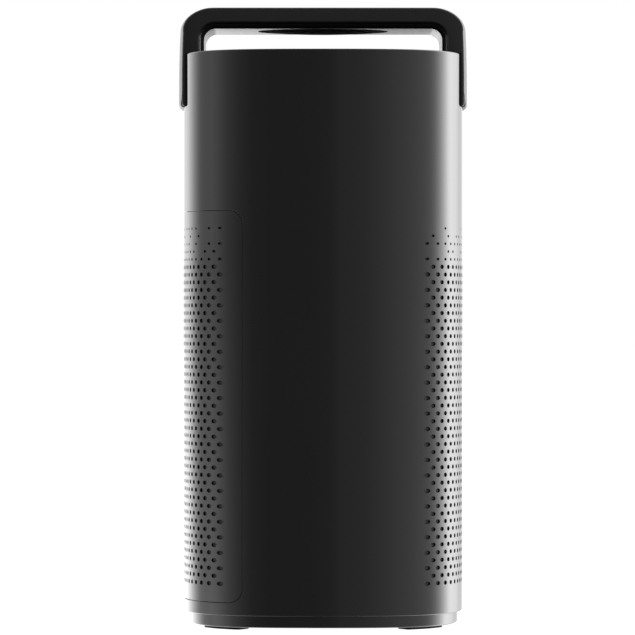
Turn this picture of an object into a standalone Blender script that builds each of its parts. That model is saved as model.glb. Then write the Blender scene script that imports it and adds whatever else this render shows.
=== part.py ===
"""Tower air purifier: a rounded-square perforated tower with a side filter door and a band handle.

Metres, +Z up. The origin is on the ground under the middle of the tower, the front faces -Y and the
filter door is on the -X side.
"""
import math

import bmesh
import bpy
from mathutils import Matrix, Vector

# Body
BODY_HALF = 0.120          # half width and half depth of the tower
BODY_POWER = 3.25          # exponent of the rounded square |x|^n + |y|^n = half^n
WALL = 0.0025
HOUSING_LOW = 0.0124
RIM_Z = 0.4875
RIM_ROUND = 0.0012
FIT = 0.0003               # gap between pieces that touch
INNER_HALF = BODY_HALF - WALL
BUILT_IN_HALF = INNER_HALF - FIT

# Base
FOOT_HEIGHT = 0.0021
FOOT_REACH = (0.097, 0.110)
TRAY_LOW = FOOT_HEIGHT + FIT
TRAY_HALF = 0.1160
TRAY_FLOOR = 0.003
TRAY_WALL = 0.003
TRAY_ROUND = 0.0012
FLANGE_HALF = 0.092        # inner edge of the housing's bottom flange
FLANGE_TOP = HOUSING_LOW + WALL
BASE_SCREW_RADIUS = 0.102

# Filter door
DOOR_LOW = 0.023
DOOR_HIGH = 0.3528
DOOR_EDGE_X = -0.0680
DOOR_CORNER = 0.0115
SEAM = 0.0004
DOOR_FRAME_EDGE_X = -0.0731
POST_X = (-0.0705, -0.0625)
POST_Y = (0.098, 0.1092)

# Filter
FILTER_LOW = 0.0238
FILTER_HIGH = 0.3495
FILTER_RADIUS = 0.0948
FILTER_CAP = 0.008
PLEATS = 48

# Fan
PARTITION_LOW = 0.354
PARTITION_HIGH = 0.358
INLET_RADIUS = 0.060
DUCT_RADIUS = 0.102
DUCT_HIGH = 0.455
IMPELLER_RADIUS = 0.085
IMPELLER_LOW = 0.370
IMPELLER_PLATE_Z = 0.4125
BLADES = 14
SHAFT_RADIUS = 0.004
MOTOR_LOW = 0.419
MOTOR_HIGH = 0.449
MOTOR_RADIUS = 0.038

# Top
DECK_LOW = 0.470
DECK_HIGH = 0.474
OUTLET_Y = 0.010
OUTLET_RADIUS = 0.080
GRILLE_SLOTS = 32
PANEL_Y = -0.092
PANEL_SIZE = (0.092, 0.024)
BUTTON_RADIUS = 0.007

# Handle
HANDLE_HALF_DEPTH = 0.054
HANDLE_FLAT = 0.036        # half depth of the flat inner face, between its two chamfers
HANDLE_CHAMFER = 0.004
HANDLE_TOP = 0.5285
HANDLE_UNDERSIDE = 0.510
HANDLE_END = 0.4425
HANDLE_INNER_HALF = 0.102
HANDLE_INNER_CORNER = 0.010
HANDLE_OUTER_HALF = 0.1242
HANDLE_TAPER = 0.0012      # how much narrower the arms are where the top corners begin
HANDLE_OUTER_CORNER = (0.030, 0.0207)   # across and upwards
LINER = 0.0025
GRIP_HALF = (0.056, 0.033)
GRIP_CROWN = 0.0024

# Power inlet, in the middle of the back wall
SOCKET_Z = 0.038
SOCKET_SIZE = (0.030, 0.020)
SOCKET_DEPTH = (0.103, 0.1196)
RECESS_SIZE = (0.020, 0.012)
RECESS_DEPTH = 0.012

ROUND = 40                 # facets of a large circle
AXES = {
    "X": Matrix(((0, 0, 1), (1, 0, 0), (0, 1, 0))),
    "Y": Matrix(((1, 0, 0), (0, 0, -1), (0, 1, 0))),
    "Z": Matrix.Identity(3),
}


def start_scene():
    for item in list(bpy.data.objects):
        bpy.data.objects.remove(item, do_unlink=True)
    groups = []
    for name in ("air_purifier", "cutters"):
        group = bpy.data.collections.new(name)
        bpy.context.scene.collection.children.link(group)
        groups.append(group)
    return groups


PARTS, CUTTERS = start_scene()


def material(name, color, roughness, metallic=0.0):
    made = bpy.data.materials.new(name)
    made.use_nodes = True
    shader = made.node_tree.nodes["Principled BSDF"]
    shader.inputs["Base Color"].default_value = (*color, 1.0)
    shader.inputs["Roughness"].default_value = roughness
    shader.inputs["Metallic"].default_value = metallic
    return made


def finish(item, color, roughness, metallic=0.0):
    """Make an object one of the parts: its own material, and smooth shading off its edges."""
    item.data.materials.clear()
    item.data.materials.append(material(item.name + "_finish", color, roughness, metallic))
    item.data.shade_smooth()
    item.data.set_sharp_from_angle(angle=math.radians(35))
    return item


def as_cutter(item):
    PARTS.objects.unlink(item)
    CUTTERS.objects.link(item)
    item.hide_render = True
    item.display_type = "WIRE"
    return item


def cut(item, *tools, operation="DIFFERENCE"):
    for tool in tools:
        if tool.name in PARTS.objects:
            as_cutter(tool)
        step = item.modifiers.new(operation.title(), "BOOLEAN")
        step.operation = operation
        step.object = tool
    return item


def dark(item, roughness=0.55):
    return finish(item, (0.022, 0.023, 0.025), roughness)


# Outlines

def squircle_point(half, angle):
    spread = abs(math.cos(angle)) ** BODY_POWER + abs(math.sin(angle)) ** BODY_POWER
    radius = half * spread ** (-1 / BODY_POWER)
    return radius * math.cos(angle), radius * math.sin(angle)


def squircle(half, count=72):
    return [squircle_point(half, math.tau * i / count) for i in range(count)]


def circle(radius, count=ROUND, center=(0, 0)):
    turns = [math.tau * i / count for i in range(count)]
    return [(center[0] + radius * math.cos(a), center[1] + radius * math.sin(a)) for a in turns]


def rectangle(low, high, corner=0.0, steps=6):
    """A rectangle between two corners, with rounded corners if corner isn't 0."""
    if corner == 0:
        return [low, (high[0], low[1]), high, (low[0], high[1])]
    points = []
    for quarter, (x, y) in enumerate(((1, 1), (0, 1), (0, 0), (1, 0))):
        cx = high[0] - corner if x else low[0] + corner
        cy = high[1] - corner if y else low[1] + corner
        for i in range(steps + 1):
            a = math.pi / 2 * (quarter + i / steps)
            points.append((cx + corner * math.cos(a), cy + corner * math.sin(a)))
    return points


def centered(size, center, corner=0.0):
    low = (center[0] - size[0] / 2, center[1] - size[1] / 2)
    high = (center[0] + size[0] / 2, center[1] + size[1] / 2)
    return rectangle(low, high, corner)


# Solids

def mesh_object(name, bm):
    mesh = bpy.data.meshes.new(name)
    bm.to_mesh(mesh)
    bm.free()
    item = bpy.data.objects.new(name, mesh)
    PARTS.objects.link(item)
    return item


def prism(name, outlines, low, high, axis="Z"):
    """Flat outlines, holes among them, extruded from low to high along an axis."""
    curve = bpy.data.curves.new(name, "CURVE")
    curve.dimensions = "2D"
    curve.fill_mode = "BOTH"
    curve.extrude = (high - low) / 2
    for outline in outlines:
        spline = curve.splines.new("POLY")
        spline.points.add(len(outline) - 1)
        for point, (u, v) in zip(spline.points, outline):
            point.co = (u, v, 0, 1)
        spline.use_cyclic_u = True
    drawn = bpy.data.objects.new(name + "_curve", curve)
    PARTS.objects.link(drawn)
    graph = bpy.context.evaluated_depsgraph_get()
    mesh = bpy.data.meshes.new_from_object(drawn.evaluated_get(graph))
    bpy.data.objects.remove(drawn, do_unlink=True)
    bm = bmesh.new()
    bm.from_mesh(mesh)
    bpy.data.meshes.remove(mesh)
    bmesh.ops.remove_doubles(bm, verts=bm.verts, dist=0.000001)
    bmesh.ops.recalc_face_normals(bm, faces=bm.faces)
    item = mesh_object(name, bm)
    middle = AXES[axis] @ Vector((0, 0, (low + high) / 2))
    item.matrix_world = Matrix.Translation(middle) @ AXES[axis].to_4x4()
    return item


def round_ends(item, width, segments, top=True, bottom=True):
    """Round the edges around the flat ends of a prism."""
    bm = bmesh.new()
    bm.from_mesh(item.data)
    bmesh.ops.dissolve_limit(bm, angle_limit=0.001, verts=bm.verts, edges=bm.edges)
    levels = [v.co.z for v in bm.verts]
    wanted = [z for z, on in ((max(levels), top), (min(levels), bottom)) if on]
    edges = [e for e in bm.edges if any(all(abs(v.co.z - z) < 1e-6 for v in e.verts) for z in wanted)]
    bmesh.ops.bevel(bm, geom=edges, offset=width, segments=segments, profile=0.5, affect="EDGES")
    bm.to_mesh(item.data)
    bm.free()
    return item


def turned(name, profile, closed=False, steps=ROUND, at=(0, 0)):
    """A profile of (radius, height) points turned about a vertical axis."""
    bm = bmesh.new()
    points = [bm.verts.new((radius, 0, z)) for radius, z in profile]
    for first, second in zip(points, points[1:] + points[:1] if closed else points[1:]):
        bm.edges.new((first, second))
    item = mesh_object(name, bm)
    item.location = (*at, 0)
    turn = item.modifiers.new("Turn", "SCREW")
    turn.steps = steps
    turn.render_steps = steps
    turn.use_merge_vertices = True
    turn.merge_threshold = 0.000001
    turn.use_smooth_shade = True
    return item


def pegs(name, spots, radius, low, high, count=16):
    """Equal upright cylinders, one at each spot, in one mesh."""
    bm = bmesh.new()
    for x, y in spots:
        place = Matrix.Translation((x, y, (low + high) / 2))
        bmesh.ops.create_cone(bm, cap_ends=True, segments=count, radius1=radius, radius2=radius,
                              depth=high - low, matrix=place)
    return mesh_object(name, bm)


def screw(name, spot, top, length, head_up, head=(0.004, 0.0028), shank=0.002):
    """A pan-head screw whose head meets the height top, with its shank running away from the head."""
    way = 1 if head_up else -1
    profile = [(0, head[1]), (head[0] * 0.75, head[1]), (head[0], head[1] * 0.5), (head[0], 0),
               (shank, 0), (shank, -length), (0, -length)]
    item = turned(name, profile, steps=12, at=spot)
    item.location.z = top
    if way < 0:
        item.rotation_euler = (math.pi, 0, 0)
    return finish(item, (0.45, 0.45, 0.46), 0.35, 1.0)


def plain(name, size, center, turn=0.0):
    """A box of a given size, turned about the vertical."""
    bm = bmesh.new()
    bmesh.ops.create_cube(bm, size=1.0)
    bmesh.ops.scale(bm, verts=bm.verts, vec=size)
    item = mesh_object(name, bm)
    item.location = center
    item.rotation_euler = (0, 0, turn)
    return item


# The tower

def door_prism(name, inset):
    """What lies inside the door's seam, as a bar along Y: it cuts the opening, and it trims the door."""
    low = (-2 * BODY_HALF, DOOR_LOW + inset)
    high = (DOOR_EDGE_X - inset, DOOR_HIGH - inset)
    return prism(name, [rectangle(low, high, DOOR_CORNER - inset)], -2 * BODY_HALF, 2 * BODY_HALF, "Y")


def base_screw_spots():
    return [(BASE_SCREW_RADIUS * x, BASE_SCREW_RADIUS * y) for x, y in ((1, 0), (0, 1), (-1, 0), (0, -1))]


def build_housing():
    housing = prism("main_housing", [squircle(BODY_HALF)], HOUSING_LOW, RIM_Z)
    round_ends(housing, RIM_ROUND, 2, bottom=False)
    cavity = prism("housing_cavity", [squircle(INNER_HALF)], FLANGE_TOP, RIM_Z + WALL)
    floor_hole = prism("housing_floor_hole", [squircle(FLANGE_HALF)], 0, FLANGE_TOP + WALL)
    screw_holes = pegs("housing_screw_holes", base_screw_spots(), 0.0023, 0, FLANGE_TOP + WALL)
    inlet_size = [side + 2 * FIT for side in SOCKET_SIZE]
    inlet_hole = prism("housing_inlet_hole", [centered(inlet_size, (0, SOCKET_Z))],
                       INNER_HALF - WALL, BODY_HALF + WALL, "Y")
    inlet_hole.location.y = BODY_HALF
    cut(housing, cavity, floor_hole, door_prism("door_opening", 0.0), screw_holes, inlet_hole)
    dark(housing, 0.45)
    for side, name in ((-1, "front"), (1, "back")):
        reach = sorted(side * y for y in POST_Y)
        post = prism("door_post_" + name, [rectangle((POST_X[0], reach[0]), (POST_X[1], reach[1]))],
                     FLANGE_TOP + FIT, PARTITION_LOW - FIT)
        dark(post)
        magnet = plain("door_magnet_" + name, (0.0016, 0.007, 0.040),
                       (POST_X[0] - 0.0011, side * sum(POST_Y) / 2, (DOOR_LOW + DOOR_HIGH) / 2))
        finish(magnet, (0.5, 0.5, 0.5), 0.35, 1.0)


def build_base():
    tray = prism("base_tray", [squircle(TRAY_HALF)], TRAY_LOW, HOUSING_LOW - FIT)
    round_ends(tray, TRAY_ROUND, 3, top=False)
    inside = squircle(TRAY_HALF - TRAY_WALL)
    hollow = prism("tray_hollow", [inside], TRAY_LOW + TRAY_FLOOR, HOUSING_LOW + WALL)
    bosses = pegs("tray_bosses", base_screw_spots(), 0.0070, TRAY_LOW + TRAY_FLOOR / 2, HOUSING_LOW - FIT)
    heads = pegs("tray_head_holes", base_screw_spots(), 0.0045, 0, 0.0065)
    shanks = pegs("tray_shank_holes", base_screw_spots(), 0.0023, 0.006, HOUSING_LOW + WALL)
    cut(tray, hollow)
    cut(tray, bosses, operation="UNION")
    cut(tray, heads, shanks)
    dark(tray, 0.5)
    for number, spot in enumerate(base_screw_spots(), 1):
        screw(f"base_screw_{number}", spot, 0.0062, 0.0080, head_up=False)
    for number in range(4):
        middle = math.pi / 4 + number * math.pi / 2
        angles = [middle + math.radians(10) * (i / 4 - 1) for i in range(9)]
        outline = [squircle_point(FOOT_REACH[1], a) for a in angles]
        outline += [squircle_point(FOOT_REACH[0], a) for a in (angles[-1], angles[0])]
        foot = prism(f"foot_pad_{number + 1}", [outline], 0, FOOT_HEIGHT)
        finish(foot, (0.012, 0.012, 0.012), 0.9)


def build_door():
    ring = [squircle(BODY_HALF), squircle(INNER_HALF)]
    panel = prism("door_panel", ring, DOOR_LOW, DOOR_HIGH)
    cut(panel, door_prism("door_outline", SEAM), operation="INTERSECT")
    dark(panel, 0.45)

    ring = [squircle(BUILT_IN_HALF), squircle(0.108)]
    frame = prism("door_frame", ring, DOOR_LOW + 0.001, DOOR_HIGH - 0.001)
    keep = plain("door_frame_side", (0.2, 0.4, 0.5), (DOOR_FRAME_EDGE_X - 0.1, 0, 0.2))
    window = plain("door_frame_window", (0.2, 0.194, DOOR_HIGH - DOOR_LOW - 0.024),
                   (DOOR_FRAME_EDGE_X - 0.07, 0, (DOOR_LOW + DOOR_HIGH) / 2))
    cut(frame, keep, operation="INTERSECT")
    cut(frame, window)
    dark(frame, 0.6)


def build_filter():
    seat = prism("filter_seat", [squircle(0.0965)], FLANGE_TOP + FIT, 0.0182)
    raised = pegs("filter_seat_raised", [(0, 0)], 0.085, 0.017, FILTER_LOW - 0.0004, ROUND)
    cut(seat, raised, operation="UNION")
    dark(seat)

    inside_low = FILTER_LOW + FILTER_CAP + FIT
    inside_high = FILTER_HIGH - FILTER_CAP - FIT
    grey = (0.30, 0.31, 0.32)
    bottom = prism("filter_bottom_cap", [circle(FILTER_RADIUS)], FILTER_LOW, FILTER_LOW + FILTER_CAP)
    finish(bottom, grey, 0.6)
    top = prism("filter_top_cap", [circle(FILTER_RADIUS), circle(INLET_RADIUS)],
                FILTER_HIGH - FILTER_CAP, FILTER_HIGH)
    finish(top, grey, 0.6)
    sleeve = prism("prefilter_sleeve", [circle(FILTER_RADIUS), circle(FILTER_RADIUS - 0.001)],
                   inside_low, inside_high)
    finish(sleeve, (0.05, 0.05, 0.055), 0.8)
    folds = []
    for i in range(2 * PLEATS):
        radius = FILTER_RADIUS - 0.0014 if i % 2 else 0.083
        a = math.pi * i / PLEATS
        folds.append((radius * math.cos(a), radius * math.sin(a)))
    media = prism("filter_media", [folds, circle(0.0800)], inside_low, inside_high)
    finish(media, (0.85, 0.86, 0.85), 0.9)
    core = prism("carbon_core", [circle(0.0797), circle(0.066)], inside_low, inside_high)
    finish(core, (0.02, 0.02, 0.02), 0.9)
    tab = plain("filter_pull_tab", (0.011, 0.024, 0.0016), (-FILTER_RADIUS - 0.0058, 0, 0.190))
    finish(tab, (0.10, 0.35, 0.55), 0.8)


# The fan

def build_fan():
    plate = [squircle(BUILT_IN_HALF), circle(INLET_RADIUS)]
    partition = prism("partition", plate, PARTITION_LOW, PARTITION_HIGH)
    dark(partition)
    ring = [circle(INLET_RADIUS + 0.012), circle(INLET_RADIUS + 0.002)]
    gasket = prism("filter_gasket", ring, FILTER_HIGH + 0.0005, PARTITION_LOW - FIT)
    finish(gasket, (0.03, 0.03, 0.03), 0.95)

    foot = PARTITION_HIGH + FIT
    mouth = [(0.058, 0.371), (0.060, 0.371), (0.060, foot + 0.0035), (0.0625, foot + 0.002),
             (0.080, foot + 0.002), (0.080, foot), (0.062, foot), (0.0595, foot + 0.0015),
             (0.058, foot + 0.004)]
    dark(turned("inlet_ring", mouth, closed=True, steps=32))
    duct = prism("fan_duct", [circle(DUCT_RADIUS), circle(DUCT_RADIUS - 0.002)], foot, DUCT_HIGH)
    dark(duct)

    bore = SHAFT_RADIUS + FIT
    plate = IMPELLER_PLATE_Z
    hub = [(bore, plate + 0.0035), (0.014, plate + 0.0035), (IMPELLER_RADIUS, plate + 0.002),
           (IMPELLER_RADIUS, plate), (0.024, plate - 0.003), (0.014, plate - 0.012),
           (0.010, plate - 0.0195), (bore, plate - 0.0195)]
    impeller = turned("fan_impeller", hub, closed=True)
    ring = [(0.062, IMPELLER_LOW + 0.003), (IMPELLER_RADIUS, IMPELLER_LOW + 0.003),
            (IMPELLER_RADIUS, IMPELLER_LOW), (0.062, IMPELLER_LOW)]
    shroud = turned("impeller_shroud", ring, closed=True)
    bm = bmesh.new()
    for number in range(BLADES):
        place = (Matrix.Rotation(math.tau * number / BLADES, 4, "Z") @ Matrix.Translation((0.063, 0, 0))
                 @ Matrix.Rotation(math.radians(38), 4, "Z"))
        height = plate + 0.001 - IMPELLER_LOW - 0.0015
        place = Matrix.Translation((0, 0, IMPELLER_LOW + 0.0015 + height / 2)) @ place
        size = Matrix.Diagonal((0.044, 0.0016, height, 1))
        bmesh.ops.create_cube(bm, size=1.0, matrix=place @ size)
    blades = mesh_object("impeller_blades", bm)
    cut(impeller, blades, shroud, operation="UNION")
    finish(impeller, (0.04, 0.04, 0.045), 0.4)

    shaft = [(0, 0.4406), (SHAFT_RADIUS, 0.4406), (SHAFT_RADIUS, 0.3862), (0, 0.3862)]
    finish(turned("motor_shaft", shaft, steps=24), (0.6, 0.6, 0.6), 0.25, 1.0)
    nut = [(0, 0.3859), (bore, 0.3859), (bore, 0.3927), (0.009, 0.3927), (0.009, 0.388),
           (0.005, 0.3835), (0, 0.3825)]
    finish(turned("impeller_nut", nut, steps=24), (0.65, 0.65, 0.62), 0.3, 1.0)

    case = [(0, MOTOR_HIGH), (MOTOR_RADIUS - 0.002, MOTOR_HIGH), (MOTOR_RADIUS, MOTOR_HIGH - 0.002),
            (MOTOR_RADIUS, MOTOR_LOW + 0.002), (MOTOR_RADIUS - 0.002, MOTOR_LOW), (bore, MOTOR_LOW),
            (bore, 0.441), (0, 0.441)]
    motor = turned("fan_motor", case)
    spots = [(0.024 * math.cos(a), 0.024 * math.sin(a)) for a in (math.tau * i / 3 + 0.5 for i in range(3))]
    cut(motor, pegs("motor_screw_holes", spots, 0.0018, 0.4425, MOTOR_HIGH + 0.001))
    finish(motor, (0.30, 0.31, 0.32), 0.35, 1.0)

    mount_low = MOTOR_HIGH + FIT
    mount = prism("motor_mount", [circle(0.046), circle(0.012, 24)], mount_low, mount_low + 0.003)
    bm = bmesh.new()
    arm_low, arm_high = 0.042, DUCT_RADIUS - 0.0025
    arm = Matrix.Translation(((arm_low + arm_high) / 2, 0, mount_low + 0.0015))
    arm = arm @ Matrix.Diagonal((arm_high - arm_low, 0.012, 0.003, 1))
    for number in range(4):
        turn = Matrix.Rotation(math.pi / 2 * number, 4, "Z")
        bmesh.ops.create_cube(bm, size=1.0, matrix=turn @ arm)
    cut(mount, mesh_object("mount_arms", bm), operation="UNION")
    cut(mount, pegs("mount_screw_holes", spots, 0.0018, MOTOR_HIGH - 0.001, mount_low + 0.005))
    finish(mount, (0.35, 0.36, 0.37), 0.5, 1.0)
    for number, spot in enumerate(spots, 1):
        screw(f"motor_screw_{number}", spot, mount_low + 0.0033, 0.0095, head_up=True,
              head=(0.003, 0.0022), shank=0.0015)


# Top of the tower

def grille_slots():
    """Radial slots in two rings, with ribs of even width between them."""
    rib = 0.0026
    slots = []
    for low, high in ((0.026, 0.049), (0.052, 0.0755)):
        for number in range(GRILLE_SLOTS):
            middle = math.tau * number / GRILLE_SLOTS
            corners = []
            for radius, side in ((low, -1), (high, -1), (high, 1), (low, 1)):
                a = middle + side * (math.pi / GRILLE_SLOTS - rib / 2 / radius)
                corners.append((radius * math.cos(a), OUTLET_Y + radius * math.sin(a)))
            slots.append(corners)
    return slots


def handle_screw_spots():
    return [(x * 0.110, y * 0.044) for x in (-1, 1) for y in (-1, 1)]


def build_top():
    light_spot = (0.028, PANEL_Y)
    deck_outlines = [squircle(BUILT_IN_HALF), circle(OUTLET_RADIUS, center=(0, OUTLET_Y))]
    deck = prism("top_deck", deck_outlines, DECK_LOW, DECK_HIGH)
    pocket_size = [side + 2 * FIT for side in PANEL_SIZE]
    pocket = prism("panel_pocket", [centered(pocket_size, (0, PANEL_Y), 0.006)], 0.472, DECK_HIGH + WALL)
    through = (DECK_LOW - WALL, DECK_HIGH + WALL)
    button_hole = pegs("button_hole", [(0, PANEL_Y)], BUTTON_RADIUS + FIT, *through, 32)
    light_hole = pegs("light_hole", [light_spot], 0.0018, *through)
    screw_holes = pegs("deck_screw_holes", handle_screw_spots(), 0.0023, *through)
    cut(deck, pocket, button_hole, light_hole, screw_holes)
    dark(deck, 0.5)

    ring = circle(OUTLET_RADIUS - FIT, center=(0, OUTLET_Y))
    grille = prism("outlet_grille", [ring] + grille_slots(), DECK_LOW + 0.0005, DECK_HIGH + 0.0005)
    dark(grille, 0.5)

    holes = [circle(BUTTON_RADIUS + FIT, 32, (0, PANEL_Y)), circle(0.0018, 16, light_spot)]
    panel = prism("control_panel", [centered(PANEL_SIZE, (0, PANEL_Y), 0.0057)] + holes, 0.4723, 0.4746)
    finish(panel, (0.008, 0.008, 0.009), 0.08)
    cap = [(0, 0.4754), (0.0064, 0.4754), (BUTTON_RADIUS, 0.4748), (BUTTON_RADIUS, 0.468), (0.009, 0.468),
           (0.009, 0.466), (0.0025, 0.466), (0.0025, 0.4650), (0, 0.4650)]
    finish(turned("power_button", cap, steps=24, at=(0, PANEL_Y)), (0.03, 0.03, 0.032), 0.4)
    pipe = [(0, 0.4746), (0.0015, 0.4746), (0.0015, 0.4612), (0, 0.4612)]
    finish(turned("status_light", pipe, steps=16, at=light_spot), (0.5, 0.9, 0.7), 0.3)
    board = plain("control_board", (0.080, 0.022, 0.0016), (0, PANEL_Y, 0.4600))
    finish(board, (0.02, 0.16, 0.07), 0.5)
    switch = plain("tact_switch", (0.006, 0.006, 0.0025), (0, PANEL_Y, 0.46235))
    finish(switch, (0.05, 0.05, 0.05), 0.4)


def build_electronics():
    corner = 0.112 / math.sqrt(2)
    main_board = plain("main_board", (0.0016, 0.056, 0.080), (corner, corner, 0.412), math.pi / 4)
    finish(main_board, (0.02, 0.16, 0.07), 0.5)
    for number, height in ((1, 0.392), (2, 0.430)):
        reach = 0.1229 / math.sqrt(2)
        place = (reach, reach, height)
        capacitor = plain(f"board_capacitor_{number}", (0.019, 0.018, 0.024), place, math.pi / 4)
        finish(capacitor, (0.06, 0.07, 0.12), 0.4)
    reach = 0.116 / math.sqrt(2)
    sensor = plain("particle_sensor", (0.014, 0.036, 0.038), (-reach, reach, 0.395), 3 * math.pi / 4)
    finish(sensor, (0.35, 0.36, 0.38), 0.4, 0.8)
    switch = plain("door_switch", (0.016, 0.013, 0.016), (-0.100, -0.0635, PARTITION_HIGH + FIT + 0.008))
    finish(switch, (0.04, 0.04, 0.04), 0.5)

    shell = centered(SOCKET_SIZE, (0, SOCKET_Z), 0.002)
    socket = prism("power_inlet", [shell], -SOCKET_DEPTH[1], -SOCKET_DEPTH[0], "Y")
    recess_floor = SOCKET_DEPTH[1] - RECESS_DEPTH
    mouth = centered(RECESS_SIZE, (0, SOCKET_Z), 0.004)
    recess = prism("socket_recess", [mouth], -0.130, -recess_floor, "Y")
    cut(socket, recess)
    finish(socket, (0.015, 0.015, 0.015), 0.5)
    for number, x in ((1, -0.0043), (2, 0.0043)):
        pin = prism(f"inlet_pin_{number}", [circle(0.0011, 12, (x, SOCKET_Z))],
                    -recess_floor - 0.0062, -recess_floor - FIT, "Y")
        finish(pin, (0.8, 0.7, 0.4), 0.3, 1.0)


# The handle

def handle_path():
    """Pairs of an inner and an outer point in the XZ plane, from the left arm's end over to the right's.

    The arms start a little low, and the side outline trims them.
    """
    pairs = []
    start_z = HANDLE_END - 0.003
    inner_z = HANDLE_UNDERSIDE - HANDLE_INNER_CORNER
    corner_z = HANDLE_TOP - HANDLE_OUTER_CORNER[1]
    outer_x = HANDLE_OUTER_HALF - HANDLE_TAPER
    steps = 5
    for i in range(steps):
        way = i / steps
        outer = HANDLE_OUTER_HALF - HANDLE_TAPER * way ** 3
        z = start_z + (corner_z - start_z) * way
        pairs.append(((HANDLE_INNER_HALF, start_z + (inner_z - start_z) * way), (outer, z)))
    for i in range(8):
        a = math.pi / 2 * i / 7
        along, up = 1 - math.cos(a), math.sin(a)
        inner = (HANDLE_INNER_HALF - HANDLE_INNER_CORNER * along, inner_z + HANDLE_INNER_CORNER * up)
        outer = (outer_x - HANDLE_OUTER_CORNER[0] * along, corner_z + HANDLE_OUTER_CORNER[1] * up)
        pairs.append((inner, outer))
    left = [((-inner[0], inner[1]), (-outer[0], outer[1])) for inner, outer in pairs]
    return left + list(reversed(pairs))


def band_section(crown):
    """The band's section as (depth, share, offset): a point offset from a share of its thickness."""
    pocket = HANDLE_FLAT + FIT
    edge = 0.0015
    lower = [(-HANDLE_HALF_DEPTH, 0, HANDLE_CHAMFER), (-pocket, 0, 0), (-pocket, 0, LINER + FIT),
             (pocket, 0, LINER + FIT), (pocket, 0, 0), (HANDLE_HALF_DEPTH, 0, HANDLE_CHAMFER)]
    upper = []
    shoulder = HANDLE_HALF_DEPTH - 0.0015
    for depth in (HANDLE_HALF_DEPTH, shoulder, 0.038, 0.020, 0, -0.020, -0.038, -shoulder, -HANDLE_HALF_DEPTH):
        drop = crown * (depth / HANDLE_HALF_DEPTH) ** 2
        upper.append((depth, 1, -drop - (edge if abs(depth) == HANDLE_HALF_DEPTH else 0)))
    return lower + upper


def sweep(name, path, section_at):
    """A closed section lofted along pairs of inner and outer points, with flat ends."""
    bm = bmesh.new()
    rings = []
    for number, (inner, outer) in enumerate(path):
        low, high = Vector((inner[0], 0, inner[1])), Vector((outer[0], 0, outer[1]))
        out = (high - low).normalized()
        ring = []
        for depth, share, offset in section_at(number / (len(path) - 1)):
            ring.append(bm.verts.new(low.lerp(high, share) + out * offset + Vector((0, depth, 0))))
        rings.append(ring)
    count = len(rings[0])
    for ring, after in zip(rings, rings[1:]):
        for i in range(count):
            j = (i + 1) % count
            bm.faces.new((ring[i], ring[j], after[j], after[i]))
    bm.faces.new(rings[0])
    bm.faces.new(reversed(rings[-1]))
    bmesh.ops.recalc_face_normals(bm, faces=bm.faces)
    return mesh_object(name, bm)


def build_handle():
    path = handle_path()
    crowns = (0.0017, 0.0036)  # over the bar, and down the arms, where the band follows the body

    def band_at(way):
        arm = min(1.0, max(0.0, (abs(way - 0.5) - 0.25) * 8))
        return band_section(crowns[0] + (crowns[1] - crowns[0]) * arm)

    band = sweep("handle_band", path, band_at)
    side = [(-HANDLE_HALF_DEPTH - 0.001, HANDLE_TOP + 0.01), (HANDLE_HALF_DEPTH + 0.001, HANDLE_TOP + 0.01)]
    corner = 0.016
    for x, quarter in ((1, 0), (-1, 1)):
        for i in range(7):
            a = -math.pi / 2 * (quarter + i / 6)
            center = (x * (HANDLE_HALF_DEPTH - corner), HANDLE_END + corner)
            side.append((center[0] + corner * math.cos(a), center[1] + corner * math.sin(a)))
    side = [side[0]] + side[:1:-1] + [side[1]]
    trim = prism("handle_side_outline", [side], -0.2, 0.2, "X")
    body = prism("handle_body_space", [squircle(BODY_HALF + FIT)], HANDLE_END - 0.01, DECK_HIGH + FIT)
    ring = [squircle(BODY_HALF + FIT), squircle(BUILT_IN_HALF - FIT)]
    wall = prism("handle_wall_space", ring, DECK_HIGH, RIM_Z + FIT)
    bores = pegs("handle_screw_bores", handle_screw_spots(), 0.0023, DECK_LOW, 0.4862)
    cut(band, trim, operation="INTERSECT")
    cut(band, body, wall, bores)
    finish(band, (0.018, 0.018, 0.019), 0.4)

    strip = [(-HANDLE_FLAT, 0, 0), (-HANDLE_FLAT, 0, LINER), (HANDLE_FLAT, 0, LINER), (HANDLE_FLAT, 0, 0)]
    liner = sweep("handle_liner", path, lambda _: strip)
    below = plain("liner_end", (0.4, 0.2, 0.1), (0, 0, DECK_HIGH + FIT - 0.05))
    cut(liner, below)
    finish(liner, (0.03, 0.03, 0.032), 0.25)

    rings = 4
    dome = [(0, HANDLE_UNDERSIDE - FIT)]
    for i in range(rings, -1, -1):
        reach = i / rings
        depth = 0.0006 + (GRIP_CROWN - FIT - 0.0006) * (1 - reach ** 2)
        dome.append((GRIP_HALF[0] * reach, HANDLE_UNDERSIDE - FIT - depth))
    dome.insert(1, (GRIP_HALF[0], HANDLE_UNDERSIDE - FIT))
    grip = turned("grip_pad", dome, steps=32)
    grip.scale.y = GRIP_HALF[1] / GRIP_HALF[0]
    finish(grip, (0.014, 0.014, 0.014), 0.7)
    for number, spot in enumerate(handle_screw_spots(), 1):
        screw(f"handle_screw_{number}", spot, DECK_LOW - FIT, 0.0155, head_up=False)


build_housing()
build_base()
build_door()
build_filter()
build_fan()
build_top()
build_electronics()
build_handle()
bpy.context.view_layer.update()
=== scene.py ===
"""Looks of the tower air purifier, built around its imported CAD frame. Metres, +Z up, front towards -Y."""
import math

import bmesh
import bpy
import numpy as np
from mathutils import Matrix, Vector
from mathutils.geometry import delaunay_2d_cdt


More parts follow.
